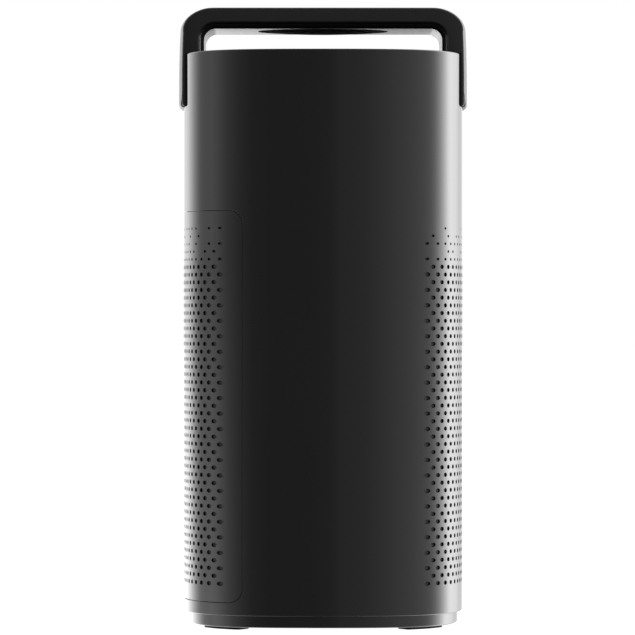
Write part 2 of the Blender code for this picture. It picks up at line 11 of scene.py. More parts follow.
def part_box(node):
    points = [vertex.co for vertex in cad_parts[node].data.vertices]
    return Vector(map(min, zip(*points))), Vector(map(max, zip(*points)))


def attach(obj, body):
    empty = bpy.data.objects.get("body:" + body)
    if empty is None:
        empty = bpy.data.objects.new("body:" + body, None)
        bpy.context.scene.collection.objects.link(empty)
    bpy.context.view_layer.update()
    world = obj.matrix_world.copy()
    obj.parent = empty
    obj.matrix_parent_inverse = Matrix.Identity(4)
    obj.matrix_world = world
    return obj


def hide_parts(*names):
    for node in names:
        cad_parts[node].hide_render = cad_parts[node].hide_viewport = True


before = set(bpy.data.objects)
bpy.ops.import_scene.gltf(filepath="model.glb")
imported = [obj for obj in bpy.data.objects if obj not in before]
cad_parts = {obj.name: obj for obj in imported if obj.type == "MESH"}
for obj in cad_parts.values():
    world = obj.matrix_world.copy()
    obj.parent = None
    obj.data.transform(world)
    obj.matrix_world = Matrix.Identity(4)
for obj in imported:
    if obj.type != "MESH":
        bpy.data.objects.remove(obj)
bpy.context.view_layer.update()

# Sizes read from the frame
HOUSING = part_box("main_housing")
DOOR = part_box("door_panel")
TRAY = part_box("base_tray")
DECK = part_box("top_deck")
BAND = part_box("handle_band")
BODY_HALF = HOUSING[1].x
RIM_Z = HOUSING[1].z

# Sizes that the CAD shares
BODY_POWER = 3.25
WALL = 0.0025
SEAM = 0.0004
DOOR_CORNER = 0.0115
FIT = 0.0003
SOCKET_Z = 0.038

# The perforation
HOLE_PITCH = 0.0075
ROW_PITCH = HOLE_PITCH * math.sqrt(3) / 2
HOLE_RADIUS = 0.00187
HOLE_CORNERS = 12
HALF_COLUMNS = 14          # holes in a full row on each side of its middle one
LOWEST_ROW_Z = 0.039
FULL_ROWS = 42
FADING_ROWS = 5
FADING_SHARES = (0.96, 0.70, 0.65, 0.55, 0.40)      # of its holes that each row keeps
FADING_RADIUS = 0.00125
FADING_LOSS = 0.00004      # of the radius, from one fading row to the next
BLOCK_HALF = (HALF_COLUMNS + 0.7) * HOLE_PITCH
BLOCK_LOW = LOWEST_ROW_Z - 0.006
BLOCK_HIGH = LOWEST_ROW_Z + (FULL_ROWS + FADING_ROWS) * ROW_PITCH


# Materials

def principled(name):
    made = bpy.data.materials.new(name)
    made.use_nodes = True
    tree = made.node_tree
    return made, tree, tree.nodes["Principled BSDF"]


def fill(node, values):
    """Set a node's inputs, by name or number."""
    for socket, value in values.items():
        node.inputs[socket].default_value = value


def add_node(tree, kind, values=None, links=None):
    """A new node with some inputs set and others linked, by name or number."""
    node = tree.nodes.new(kind)
    fill(node, values or {})
    for socket, source in (links or {}).items():
        tree.links.new(source, node.inputs[socket])
    return node


def add_noise(tree, scale, detail=3.0):
    """Noise in object space, so that it stays on the piece as the piece moves."""
    place = add_node(tree, "ShaderNodeTexCoord").outputs["Object"]
    noise = add_node(tree, "ShaderNodeTexNoise", {"Scale": scale, "Detail": detail}, {"Vector": place})
    return noise.outputs["Fac"]


def remap(tree, noise, low, high):
    """The middle part of a noise's range, spread from low to high."""
    ranges = {"From Min": 0.3, "From Max": 0.7, "To Min": low, "To Max": high}
    return add_node(tree, "ShaderNodeMapRange", ranges, {"Value": noise}).outputs["Result"]


def tint(tree, noise, dark, light):
    ramp = add_node(tree, "ShaderNodeValToRGB", links={"Fac": noise})
    ramp.color_ramp.elements[0].position = 0.35
    ramp.color_ramp.elements[0].color = (*dark, 1)
    ramp.color_ramp.elements[1].position = 0.65
    ramp.color_ramp.elements[1].color = (*light, 1)
    return ramp.outputs["Color"]


def moulded(name, color, roughness, spread=0.04, grain=1800.0, bump=0.03, metallic=0.0, coat=0.0,
            coat_roughness=0.15, level=0.5):
    """Moulded plastic or painted metal: a fine grain, and slow changes in tone and gloss."""
    made, tree, shader = principled(name)
    fill(shader, {"Metallic": metallic, "Coat Weight": coat, "Coat Roughness": coat_roughness,
                  "Specular IOR Level": level})
    slow = add_noise(tree, 9.0)
    fine = add_noise(tree, grain, 2.0)
    darker = [channel * 0.93 for channel in color]
    lighter = [channel * 1.07 for channel in color]
    tree.links.new(tint(tree, slow, darker, lighter), shader.inputs["Base Color"])
    tree.links.new(remap(tree, fine, roughness - spread, roughness + spread), shader.inputs["Roughness"])
    relief = add_node(tree, "ShaderNodeBump", {"Strength": bump, "Distance": 0.0002}, {"Height": fine})
    tree.links.new(relief.outputs["Normal"], shader.inputs["Normal"])
    return made


def emitting(name, color, strength):
    made, tree, shader = principled(name)
    fill(shader, {"Roughness": 0.3, "Emission Strength": strength})
    glow = add_noise(tree, 400.0)
    dim = [channel * 0.85 for channel in color]
    hue = tint(tree, glow, dim, color)
    tree.links.new(hue, shader.inputs["Base Color"])
    tree.links.new(hue, shader.inputs["Emission Color"])
    return made


SHELL = (0.0040, 0.0041, 0.0043)
shell_plastic = moulded("shell_plastic", SHELL, 0.40, coat=1.0, coat_roughness=0.03, level=0.0, bump=0.0)
handle_plastic = moulded("handle_plastic", (0.0040, 0.0040, 0.0042), 0.36, level=0.42)
matt_plastic = moulded("matt_plastic", (0.020, 0.020, 0.0205), 0.85, level=0.0, bump=0.10, grain=2600.0)
liner_plastic = moulded("liner_plastic", (0.006, 0.006, 0.0065), 0.26)
inner_plastic = moulded("inner_plastic", (0.012, 0.012, 0.013), 0.55)
soft_rubber = moulded("soft_rubber", (0.004, 0.004, 0.004), 0.75, bump=0.12, grain=2600.0, level=0.1)


def link(name, data):
    item = bpy.data.objects.new(name, data)
    bpy.context.scene.collection.objects.link(item)
    return item


def build_mesh(name, points, faces, sharp=35):
    mesh = bpy.data.meshes.new(name)
    mesh.from_pydata([tuple(p) for p in points], [], faces)
    mesh.shade_smooth()
    mesh.set_sharp_from_angle(angle=math.radians(sharp))
    return link(name, mesh)


def dress(item, material, body, node):
    """Give a piece its material and its body, and let it stand for its CAD node."""
    item.data.materials.clear()
    item.data.materials.append(material)
    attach(item, body)
    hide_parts(node)


# The rounded-square outline, unrolled

START = math.radians(65)


def body_radius(half, angle):
    """The distance from the axis to the outline |x|^n + |y|^n = half^n at an angle."""
    spread = np.abs(np.cos(angle)) ** BODY_POWER + np.abs(np.sin(angle)) ** BODY_POWER
    return half * spread ** (-1 / BODY_POWER)


class Outline:
    """The body's outline |x|^n + |y|^n = half^n, measured in metres along its edge.

    The measure starts near the right back corner and runs anticlockwise as seen from above: back, door
    side, front, right side.
    """

    def __init__(self, half):
        self.half = half
        self.angles = np.linspace(START, START + math.tau, 28801)
        radius = body_radius(half, self.angles)
        self.x = radius * np.cos(self.angles)
        self.y = radius * np.sin(self.angles)
        steps = np.hypot(np.diff(self.x), np.diff(self.y))
        self.along = np.concatenate([[0], np.cumsum(steps)])
        self.length = self.along[-1]

    def measure(self, x, y):
        angle = (np.arctan2(y, x) - START) % math.tau + START
        return np.interp(angle, self.angles, self.along)

    def point(self, along):
        return np.interp(along, self.along, self.x), np.interp(along, self.along, self.y)

    def normal(self, along):
        x, y = self.point(along)
        nx = np.sign(x) * np.abs(x) ** (BODY_POWER - 1)
        ny = np.sign(y) * np.abs(y) ** (BODY_POWER - 1)
        size = np.hypot(nx, ny)
        return nx / size, ny / size

    def surface(self, along, z, depth):
        """Points at a depth under the outline's wall, as an array of x, y, z."""
        x, y = self.point(along)
        nx, ny = self.normal(along)
        return np.stack([x - nx * depth, y - ny * depth, z + 0 * x], axis=-1)

    def across(self, value):
        """The other coordinate of the outline where one coordinate is value."""
        return (self.half ** BODY_POWER - abs(value) ** BODY_POWER) ** (1 / BODY_POWER)


BODY = Outline(BODY_HALF)
LINES = 360
LINE_PLACES = np.linspace(0, BODY.length, LINES + 1)
LINE_STEP_Z = 0.012


def side_holes(side):
    """Centres and radii (y, z, r) of the holes in one side: full rows, then rows that fade out upwards."""
    holes = []
    chance = np.random.RandomState(7)
    for row in range(FULL_ROWS + FADING_ROWS):
        z = LOWEST_ROW_Z + row * ROW_PITCH
        half_step = row % 2
        for column in range(-HALF_COLUMNS, HALF_COLUMNS + 1 - half_step):
            y = (column + half_step / 2) * HOLE_PITCH
            fade = row - FULL_ROWS
            draw = chance.rand()
            if fade < 0:
                holes.append((side * y, z, HOLE_RADIUS))
            elif draw < FADING_SHARES[fade]:
                holes.append((side * y, z, FADING_RADIUS - FADING_LOSS * fade))
    return holes


def hole_rings(holes, side):
    """Each hole's rim, drilled along X, in the unrolled plane."""
    rings = []
    turns = [math.tau * (i + 0.5) / HOLE_CORNERS for i in range(HOLE_CORNERS)]
    for y, z, radius in holes:
        ys = np.array([y + radius * math.cos(a) for a in turns])
        zs = np.array([z + radius * math.sin(a) for a in turns])
        rings.append(np.stack([BODY.measure(side * BODY.across(ys), ys), zs], axis=1))
    return rings


def in_block(y, z):
    """Which places are in the part of a side that the holes take up."""
    return (np.abs(y) < BLOCK_HALF) & (z > BLOCK_LOW) & (z < BLOCK_HIGH)


def between_holes(holes, side):
    """Unrolled points in the fading rows where no hole is near."""
    centers = np.array([(y, z) for y, z, _ in holes])
    points = []
    for y in np.arange(-HALF_COLUMNS - 0.5, HALF_COLUMNS + 1) * HOLE_PITCH:
        for row in range(FULL_ROWS, FULL_ROWS + FADING_ROWS):
            z = LOWEST_ROW_Z + (row + 0.5) * ROW_PITCH
            if np.hypot(centers[:, 0] - y, centers[:, 1] - z).min() > 0.0018:
                points.append((float(BODY.measure(side * BODY.across(y), y)), z))
    return points


def door_loop(grow):
    """The door seam's outline in the unrolled plane, anticlockwise, grown by a distance."""
    low_z, high_z = DOOR[0].z - grow, DOOR[1].z + grow
    edge_x = DOOR[1].x + grow
    corner = DOOR_CORNER + grow
    steps = 8

    def corner_arc(back, high, turns):
        center_z = high_z - corner if high else low_z + corner
        points = []
        for a in turns:
            x = edge_x - corner + corner * math.cos(a)
            z = center_z + (1 if high else -1) * corner * math.sin(a)
            points.append((float(BODY.measure(x, BODY.across(x) * (1 if back else -1))), z))
        return points

    rising = [math.pi / 2 * i / steps for i in range(steps + 1)]
    falling = list(reversed(rising))
    front_low = corner_arc(False, False, falling)
    front_high = corner_arc(False, True, rising)
    back_high = corner_arc(True, True, falling)
    back_low = corner_arc(True, False, rising)
    uprights = np.arange(low_z + corner, high_z - corner, LINE_STEP_Z)[1:]
    between = [u for u in LINE_PLACES if back_high[0][0] + 0.001 < u < front_high[-1][0] - 0.001]
    loop = front_low + [(front_low[-1][0], z) for z in uprights] + front_high
    loop += [(u, high_z) for u in reversed(between)] + back_high
    loop += [(back_low[0][0], z) for z in reversed(uprights)] + back_low
    return np.array(loop + [(u, low_z) for u in between])


def inside_door(along, z, margin):
    """Which unrolled points lie inside the door's seam, by more than a margin."""
    x, _ = BODY.point(along)
    dx = np.maximum(x - (DOOR[1].x - DOOR_CORNER), 0)
    middle = (DOOR[0].z + DOOR[1].z) / 2
    dz = np.maximum(np.abs(z - middle) - (DOOR[1].z - DOOR[0].z) / 2 + DOOR_CORNER, 0)
    return np.hypot(dx, dz) < DOOR_CORNER - margin


def triangulate(points, loops, segments):
    """Delaunay triangles over unrolled points that keep the loops and segments as edges."""
    stacked = [np.asarray(points).reshape(-1, 2)]
    edges = list(segments)
    count = len(stacked[0])
    for loop in loops:
        edges += [(count + i, count + (i + 1) % len(loop)) for i in range(len(loop))]
        stacked.append(loop)
        count += len(loop)
    flat = np.concatenate(stacked)
    result = delaunay_2d_cdt([Vector(p) for p in flat], edges, [], 0, 1e-7)
    return np.array([tuple(v) for v in result[0]]), np.array([tuple(f) for f in result[2]])


def grid_points(low_z, high_z, keep):
    """Points on the upright lines where keep allows them, and the upright segments between them."""
    points, segments = [], []
    levels = np.linspace(low_z, high_z, max(2, int(round((high_z - low_z) / LINE_STEP_Z)) + 1))
    for along in LINE_PLACES:
        allowed = keep(np.full(len(levels), along), levels)
        before = False
        for z, fine in zip(levels, allowed):
            if fine:
                if before:
                    segments.append((len(points) - 1, len(points)))
                points.append((along, z))
            before = fine
    return points, segments


def drop_holes(flat, triangles, holes, side):
    """Remove the triangles that fill the holes."""
    centers = flat[triangles].mean(axis=1)
    x, y = BODY.point(centers[:, 0])
    rows = np.round((centers[:, 1] - LOWEST_ROW_Z) / ROW_PITCH).astype(int)
    halves = (rows % 2) / 2
    columns = np.round(y / HOLE_PITCH - halves)
    near_y = (columns + halves) * HOLE_PITCH
    near_z = LOWEST_ROW_Z + rows * ROW_PITCH
    sizes = {(round(hy, 5), round(hz, 5)): r for hy, hz, r in holes}
    radius = np.array([sizes.get((round(a, 5), round(b, 5)), 0.0) for a, b in zip(near_y, near_z)])
    radius[np.sign(x) != side] = 0
    inside = np.hypot(y - near_y, centers[:, 1] - near_z) < radius * math.cos(math.pi / HOLE_CORNERS)
    return triangles[~inside]


INLET_HALF = (0.0153, 0.0103)


def inlet_loop():
    """The hole for the power inlet in the unrolled plane, anticlockwise, in the middle of the back."""
    xs = np.linspace(-1, 1, 13)
    points = [(-x * INLET_HALF[0], -INLET_HALF[1]) for x in xs]
    points += [(-INLET_HALF[0], z * INLET_HALF[1]) for z in (-0.5, 0, 0.5)]
    points += [(x * INLET_HALF[0], INLET_HALF[1]) for x in xs]
    points += [(INLET_HALF[0], -z * INLET_HALF[1]) for z in (-0.5, 0, 0.5)]
    return np.array([(float(BODY.measure(x, BODY.across(x))), SOCKET_Z + z) for x, z in points])


def near_inlet(along, z, margin):
    x, y = BODY.point(along)
    return (y > 0) & (np.abs(x) < INLET_HALF[0] + margin) & (np.abs(z - SOCKET_Z) < INLET_HALF[1] + margin)


def quarter(radius, steps):
    """(forward, down) points of a rounded edge."""
    turns = [math.pi / 2 * i / steps for i in range(1, steps + 1)]
    return [(radius * math.sin(a), radius * (1 - math.cos(a))) for a in turns]


def shell(name, flat, triangles, trims):
    """A wall of even thickness over unrolled triangles.

    trims maps a flat point's number to (direction, profile): its edge is finished along that profile of
    (forward, down) steps. Other open edges, such as the holes', go straight through.
    """
    count = len(flat)
    points = [BODY.surface(flat[:, 0], flat[:, 1], depth) for depth in (0, WALL)]
    seen = dict.fromkeys(pair for t in triangles for pair in zip(t, np.roll(t, -1)))
    same = {}
    ends = {round(z, 6): i for i, (u, z) in enumerate(flat) if u > BODY.length - 1e-6}
    for i, (u, z) in enumerate(flat):
        if u < 1e-6 and round(z, 6) in ends:
            same[ends[round(z, 6)]] = i
    faces = [tuple(same.get(i, i) for i in t) for t in triangles]
    faces += [tuple(same.get(i, i) + count for i in reversed(t)) for t in triangles]
    skins = len(faces)
    rows, extra = {}, []
    for i, (direction, profile) in trims.items():
        forward, down = np.array(profile).T
        along, z = flat[i][:, None] + np.outer(direction, forward)
        rows[i] = [2 * count + len(extra) + k for k in range(len(profile))]
        extra += list(BODY.surface(along, z, down))
    points.append(np.array(extra))
    for a, b in seen:
        if (b, a) in seen:
            continue
        if min(flat[a, 0], flat[b, 0]) > BODY.length - 1e-6 or max(flat[a, 0], flat[b, 0]) < 1e-6:
            continue
        a, b = same.get(a, a), same.get(b, b)
        chain_a = [a] + rows.get(a, []) + [a + count]
        chain_b = [b] + rows.get(b, []) + [b + count]
        for k in range(len(chain_a) - 1):
            faces.append((chain_b[k], chain_a[k], chain_a[k + 1], chain_b[k + 1]))
    points = np.concatenate(points)
    used = np.unique(np.concatenate([np.array(f) for f in faces]))
    number = {old: new for new, old in enumerate(used)}
    item = build_mesh(name, points[used], [[number[i] for i in f] for f in faces], 40)
    mesh = item.data
    nx, ny = BODY.normal(flat[:, 0])
    true = np.zeros((len(points), 3))
    true[:count] = np.stack([nx, ny, 0 * nx], axis=1)
    true[count:2 * count] = -true[:count]
    loops = np.zeros((len(mesh.loops), 3))
    loops[:3 * skins] = true[np.array(faces[:skins]).ravel()]
    mesh.normals_split_custom_set([tuple(n) for n in loops])
    return item


def loop_trims(flat, loop, profile, inward):
    """Trims for the points of a closed anticlockwise loop."""
    tangent = np.roll(loop, -1, axis=0) - np.roll(loop, 1, axis=0)
    normal = np.stack([-tangent[:, 1], tangent[:, 0]], axis=1)
    normal /= np.linalg.norm(normal, axis=1)[:, None]
    if not inward:
        normal = -normal
    trims = {}
    for place, direction in zip(loop, normal):
        nearest = int(np.argmin(np.hypot(flat[:, 0] - place[0], flat[:, 1] - place[1])))
        trims[nearest] = (direction, profile)
    return trims


EDGE = 0.00025             # rounding of the door seam's two edges
RIM_ROUND = 0.0012
FOOT_ROUND = 0.0010        # rounding of the housing's lower edge


def build_housing():
    low_z, high_z = HOUSING[0].z + FOOT_ROUND, RIM_Z - RIM_ROUND
    holes = side_holes(1)

    def keep(along, z):
        x, y = BODY.point(along)
        fine = ~inside_door(along, z, -0.0022) & ~near_inlet(along, z, 0.001)
        return fine & ~((x > 0) & in_block(y, z))

    points, segments = grid_points(low_z, high_z, keep)
    points += between_holes(holes, 1)
    opening = door_loop(SEAM + EDGE)
    flat, triangles = triangulate(points, [opening, inlet_loop()] + hole_rings(holes, 1), segments)
    along, z = flat[triangles].mean(axis=1).T
    openings = inside_door(along, z, -SEAM - EDGE) | near_inlet(along, z, -1e-6)
    triangles = drop_holes(flat, triangles[~openings], holes, 1)
    trims = loop_trims(flat, opening, quarter(EDGE, 3), True)
    rim = quarter(RIM_ROUND, 5) + [(RIM_ROUND, WALL - 0.0006), (RIM_ROUND - 0.0002, WALL - 0.0002)]
    sill = quarter(FOOT_ROUND, 4)
    for i, (_, z) in enumerate(flat):
        if z > high_z - 1e-6:
            trims[i] = ((0, 1), rim)
        elif z < low_z + 1e-6:
            trims[i] = ((0, -1), sill)
    housing = shell("housing_shell", flat, triangles, trims)
    dress(housing, shell_plastic, "housing", "main_housing")


def build_door():
    holes = side_holes(-1)
    outline = door_loop(-EDGE)

    def keep(along, z):
        _, y = BODY.point(along)
        return inside_door(along, z, EDGE + 0.0015) & ~in_block(y, z)

    points, segments = grid_points(DOOR[0].z, DOOR[1].z, keep)
    points += between_holes(holes, -1)
    flat, triangles = triangulate(points, [outline] + hole_rings(holes, -1), segments)
    along, z = flat[triangles].mean(axis=1).T
    triangles = drop_holes(flat, triangles[inside_door(along, z, EDGE - 1e-5)], holes, -1)
    trims = loop_trims(flat, outline, quarter(EDGE, 3), False)
    dress(shell("door_skin", flat, triangles, trims), shell_plastic, "door", "door_panel")


def build_net(side, body, node):
    """A fine net moulded into the wall of one side, across all of its holes."""
    deep, thin = 0.0017, 0.0002
    ys = np.linspace(-107, 107, 43) / 1000
    along = BODY.measure(side * BODY.across(ys), ys)
    points = np.concatenate([BODY.surface(along, z, depth) for depth in (deep, deep + thin)
                             for z in (LOWEST_ROW_Z - 0.003, BLOCK_HIGH)])
    count = len(ys)
    faces = []
    for i in range(count - 1):
        a, b, c, d = i, i + count, i + 2 * count, i + 3 * count
        faces += [(a, a + 1, b + 1, b), (d, d + 1, c + 1, c), (b, b + 1, d + 1, d), (c, c + 1, a + 1, a)]
    faces += [(0, count, 3 * count, 2 * count), (2 * count - 1, 4 * count - 1, 3 * count - 1, count - 1)]
    if side < 0:
        faces = [tuple(reversed(face)) for face in faces]
    dress(build_mesh(f"{body}_net", points, faces), net_fabric, body, node)


# Plates, turned pieces and cuts

def rounded(corners, steps=5):
    """A closed outline from (x, y, radius) corners, each rounded by an arc."""
    points = []
    for number, (x, y, radius) in enumerate(corners):
        here = Vector((x, y))
        back = (Vector(corners[number - 1][:2]) - here).normalized()
        ahead = (Vector(corners[(number + 1) % len(corners)][:2]) - here).normalized()
        if radius == 0:
            points.append(tuple(here))
            continue
        half = math.acos(max(-1.0, min(1.0, back.dot(ahead)))) / 2
        center = here + (back + ahead).normalized() * (radius / math.sin(half))
        first = here + back * (radius / math.tan(half)) - center
        last = here + ahead * (radius / math.tan(half)) - center
        sweep = math.atan2(first.x * last.y - first.y * last.x, first.dot(last))
        for i in range(steps + 1):
            a = sweep * i / steps
            turned_to = Vector((first.x * math.cos(a) - first.y * math.sin(a),
                                first.x * math.sin(a) + first.y * math.cos(a)))
            points.append(tuple(center + turned_to))
    return points


def box_outline(size, center=(0, 0), radius=0.0001, steps=5):
    x, y = size[0] / 2, size[1] / 2
    corners = ((-x, -y), (x, -y), (x, y), (-x, y))
    return rounded([(center[0] + a, center[1] + b, radius) for a, b in corners], steps)


def circle(radius, count=96, center=(0, 0)):
    turns = [math.tau * i / count for i in range(count)]
    return [(center[0] + radius * math.cos(a), center[1] + radius * math.sin(a)) for a in turns]


def squircle(half, count=360):
    ring = Outline(half)
    x, y = ring.point(np.linspace(0, ring.length, count + 1)[:-1])
    return list(zip(x, y))


def signed_area(loop):
    """Twice the area of a closed loop, below zero where it runs clockwise."""
    return np.sum(loop[:, 0] * np.roll(loop[:, 1], -1) - np.roll(loop[:, 0], -1) * loop[:, 1])


def into_material(loop, hole):
    """Unit directions from a loop's points into the plate's material."""
    ahead = np.roll(loop, -1, axis=0) - loop
    ahead /= np.linalg.norm(ahead, axis=1)[:, None]
    tangent = ahead + np.roll(ahead, 1, axis=0)
    tangent /= np.linalg.norm(tangent, axis=1)[:, None]
    normal = np.stack([-tangent[:, 1], tangent[:, 0]], axis=1)
    return normal * (1 if signed_area(loop) > 0 else -1) * (-1 if hole else 1)


def inside_loop(points, loop):
    """Even-odd test of points against a closed loop."""
    x, y = points[:, 0], points[:, 1]
    result = np.zeros(len(points), bool)
    for (ax, ay), (bx, by) in zip(loop, np.roll(loop, -1, axis=0)):
        crosses = (ay > y) != (by > y)
        if crosses.any():
            result ^= crosses & (x < (bx - ax) * (y - ay) / (by - ay + 1e-18) + ax)
    return result


def plate(name, loops, rows, matrix=None):
    """A plate whose first loop is its outline and whose others are holes; rows of (inset, z) go up."""
    loops = [np.asarray(loop, float) for loop in loops]
    ways = [into_material(loop, number > 0) for number, loop in enumerate(loops)]
    sizes = [len(loop) for loop in loops]
    total = sum(sizes)
    points = []
    for inset, z in rows:
        level = np.concatenate([loop + way * inset for loop, way in zip(loops, ways)])
        points.append(np.column_stack([level, np.full(total, z)]))
    faces = []
    for row in range(len(rows) - 1):
        start = 0
        for number, size in enumerate(sizes):
            flip = (signed_area(loops[number]) > 0) != (number == 0)
            for i in range(size):
                a, b = row * total + start + i, row * total + start + (i + 1) % size
                side = (a, b, b + total, a + total)
                faces.append(tuple(reversed(side)) if flip else side)
            start += size
    for row, up in ((0, False), (len(rows) - 1, True)):
        level = points[row][:, :2]
        edges, start = [], 0
        for size in sizes:
            edges += [(start + i, start + (i + 1) % size) for i in range(size)]
            start += size
        result = delaunay_2d_cdt([Vector(p) for p in level], edges, [], 0, 1e-9)
        flat = np.array([tuple(v) for v in result[0]])
        match = [old[0] for old in result[3]]
        triangles = np.array([tuple(f) for f in result[2]])
        middle = flat[triangles].mean(axis=1)
        solid = inside_loop(middle, level[:sizes[0]])
        start = sizes[0]
        for size in sizes[1:]:
            solid &= ~inside_loop(middle, level[start:start + size])
            start += size
        for triangle in triangles[solid]:
            face = tuple(row * total + match[i] for i in triangle)
            faces.append(face if up else tuple(reversed(face)))
    item = build_mesh(name, np.concatenate(points), faces)
    if matrix is not None:
        item.data.transform(matrix)
    return item


def edges_rounded(low, high, below, above, steps=4):
    """Rows of a plate from low to high with rounded lower and upper edges."""
    turns = [math.pi / 2 * i / steps for i in range(steps + 1)]
    rows = [(0, low + below), (0, high - above)]
    if below:
        rows = [(below * (1 - math.sin(a)), low + below * (1 - math.cos(a))) for a in turns[:-1]] + rows
    if above:
        rows += [(above * (1 - math.cos(a)), high - above * (1 - math.sin(a))) for a in turns[1:]]
    return rows


def turned(name, profile, steps=96, center=(0, 0)):
    """A closed (radius, z) profile, anticlockwise, turned about a vertical axis."""
    rings, points = [], []
    for radius, z in profile:
        if radius < 1e-9:
            rings.append([len(points)] * steps)
            points.append((center[0], center[1], z))
        else:
            rings.append(list(range(len(points), len(points) + steps)))
            points += [(center[0] + radius * math.cos(math.tau * i / steps),
                        center[1] + radius * math.sin(math.tau * i / steps), z) for i in range(steps)]
    faces = []
    for ring, after in zip(rings, rings[1:] + rings[:1]):
        for i in range(steps):
            j = (i + 1) % steps
            corners = [ring[i], ring[j], after[j], after[i]]
            face = [c for n, c in enumerate(corners) if c not in corners[:n]]
            if len(face) > 2:
                faces.append(tuple(face))
    return build_mesh(name, points, faces)


def carve(item, *tools, sharp=35):
    """Cut tools out of a piece, and drop them."""
    for tool in tools:
        step = item.modifiers.new("cut", "BOOLEAN")
        step.operation = "DIFFERENCE"
        step.solver = "EXACT"
        step.object = tool
    graph = bpy.context.evaluated_depsgraph_get()
    mesh = bpy.data.meshes.new_from_object(item.evaluated_get(graph))
    item.modifiers.clear()
    item.data = mesh
    for tool in tools:
        bpy.data.objects.remove(tool, do_unlink=True)
    mesh.shade_smooth()
    mesh.set_sharp_from_angle(angle=math.radians(sharp))


def merge(item, *others):
    """Put other pieces' meshes into the first piece."""
    bm = bmesh.new()
    bm.from_mesh(item.data)
    for other in others:
        bm.from_mesh(other.data)
        bpy.data.objects.remove(other, do_unlink=True)
    bm.to_mesh(item.data)
    bm.free()
    return item


# The base

def build_base():
    low, high = TRAY[0].z, TRAY[1].z
    screw_reach, well_radius = 0.102, 0.0045
    spots = [(screw_reach * x, screw_reach * y) for x, y in ((1, 0), (0, 1), (-1, 0), (0, -1))]
    tray = plate("base_band", [squircle(TRAY[1].x)], edges_rounded(low, high, 0.0012, 0, 6))
    well = [(0, low - 0.002), (well_radius, low - 0.002), (well_radius, low + 0.0041), (0, low + 0.0041)]
    carve(tray, *[turned("well", well, 32, spot) for spot in spots])
    dress(tray, shell_plastic, "housing", "base_tray")
    for number, spot in enumerate(spots, 1):
        build_base_screw(f"base_screw_{number}", spot)
    steps, corner, outer_reach, inner_reach = 24, 0.0016, 0.110, 0.097
    for number in range(1, 5):
        node = f"foot_pad_{number}"
        middle = math.pi / 4 + (number - 1) * math.pi / 2
        turns = [middle + math.radians(10) * (2 * i / steps - 1) for i in range(steps + 1)]
        ends = (turns[-1], turns[0])
        outline = [(*polar_point(outer_reach, a), corner if a in ends else 0) for a in turns]
        outline += [(*polar_point(inner_reach, a), corner) for a in ends]
        foot = plate(f"foot_{number}", [rounded(outline)], edges_rounded(0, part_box(node)[1].z, 0.0006, 0))
        dress(foot, soft_rubber, "housing", node)


def polar_point(half, angle):
    radius = body_radius(half, angle)
    return radius * math.cos(angle), radius * math.sin(angle)


def build_base_screw(node, spot):
    """A pan-head screw, its head down, with a cross recess."""
    top, length, head, rise, shank = 0.0062, 0.0080, 0.004, 0.0028, 0.002
    arc = [(head * math.sin(a), -rise + head * 0.5 * (1 - math.cos(a)))
           for a in (math.radians(8 * i) for i in range(10))]
    profile = [(0, arc[0][1])] + arc[1:] + [(head, 0), (shank, 0), (shank, length), (0, length)]
    item = turned(node + "_fine", [(r, top + z) for r, z in profile], 32, spot)
    bars = []
    for turn in (0, math.pi / 2):
        bar = plate("recess", [box_outline((head * 1.05, head * 0.24))],
                    [(0, top - rise - 0.001), (0, top - rise + 0.0013)], Matrix.Rotation(turn, 4, "Z"))
        bar.data.transform(Matrix.Translation((spot[0], spot[1], 0)))
        bars.append(bar)
    carve(item, *bars)
    dress(item, zinc, "housing", node)


def build_flange():
    """The ledge inside the housing's lower edge, which the tray is screwed to."""
    rows = [(0, HOUSING[0].z + 0.0002), (0, HOUSING[0].z + WALL)]
    flange = plate("housing_ledge", [squircle(BODY_HALF - WALL - 0.0001), squircle(0.092)], rows)
    dress(flange, shell_plastic, "housing", "main_housing")


# The handle

HALF_DEPTH = BAND[1].y
FLAT = 0.036               # half depth of the flat inner face
UNDERSIDE = 0.510
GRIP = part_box("grip_pad")
TOP = BAND[1].z
ARM_END = BAND[0].z
INNER_HALF = 0.102
INNER_CORNER = 0.010
OUTER_HALF = BAND[1].x
OUTER_CORNER = (0.030, 0.0207)
TAPER = 0.0012
LINER = 0.0025
FLARE = 0.0052             # rise of the inner side towards its front and back edges
TIP = 0.0028               # rounding of the arms' lower ends
OUTER_ROUND = 0.0018       # rounding of the band's long edges
INNER_ROUND = 0.0006


def handle_path():
    """Pairs of an inner and an outer point in the XZ plane, from the left arm's end over to the right's."""
    arm_steps, corner_steps = 40, 20
    inner_z = UNDERSIDE - INNER_CORNER
    corner_z = TOP - OUTER_CORNER[1]
    outer_x = OUTER_HALF - TAPER
    start_z = ARM_END + TIP
    pairs = []
    for i in range(8):
        a = math.pi / 2 * i / 8
        z = ARM_END + TIP * (1 - math.cos(a))
        pairs.append(((INNER_HALF, z), (OUTER_HALF - TIP * (1 - math.sin(a)), z)))
    for i in range(arm_steps):
        way = i / arm_steps
        inner = (INNER_HALF, start_z + (inner_z - start_z) * way)
        pairs.append((inner, (OUTER_HALF - TAPER * way ** 3, start_z + (corner_z - start_z) * way)))
    for i in range(corner_steps):
        a = math.pi / 2 * i / (corner_steps - 1)
        along, up = 1 - math.cos(a), math.sin(a)
        pairs.append(((INNER_HALF - INNER_CORNER * along, inner_z + INNER_CORNER * up),
                      (outer_x - OUTER_CORNER[0] * along, corner_z + OUTER_CORNER[1] * up)))
    left = [((-inner[0], inner[1]), (-outer[0], outer[1])) for inner, outer in pairs]
    return left + list(reversed(pairs))


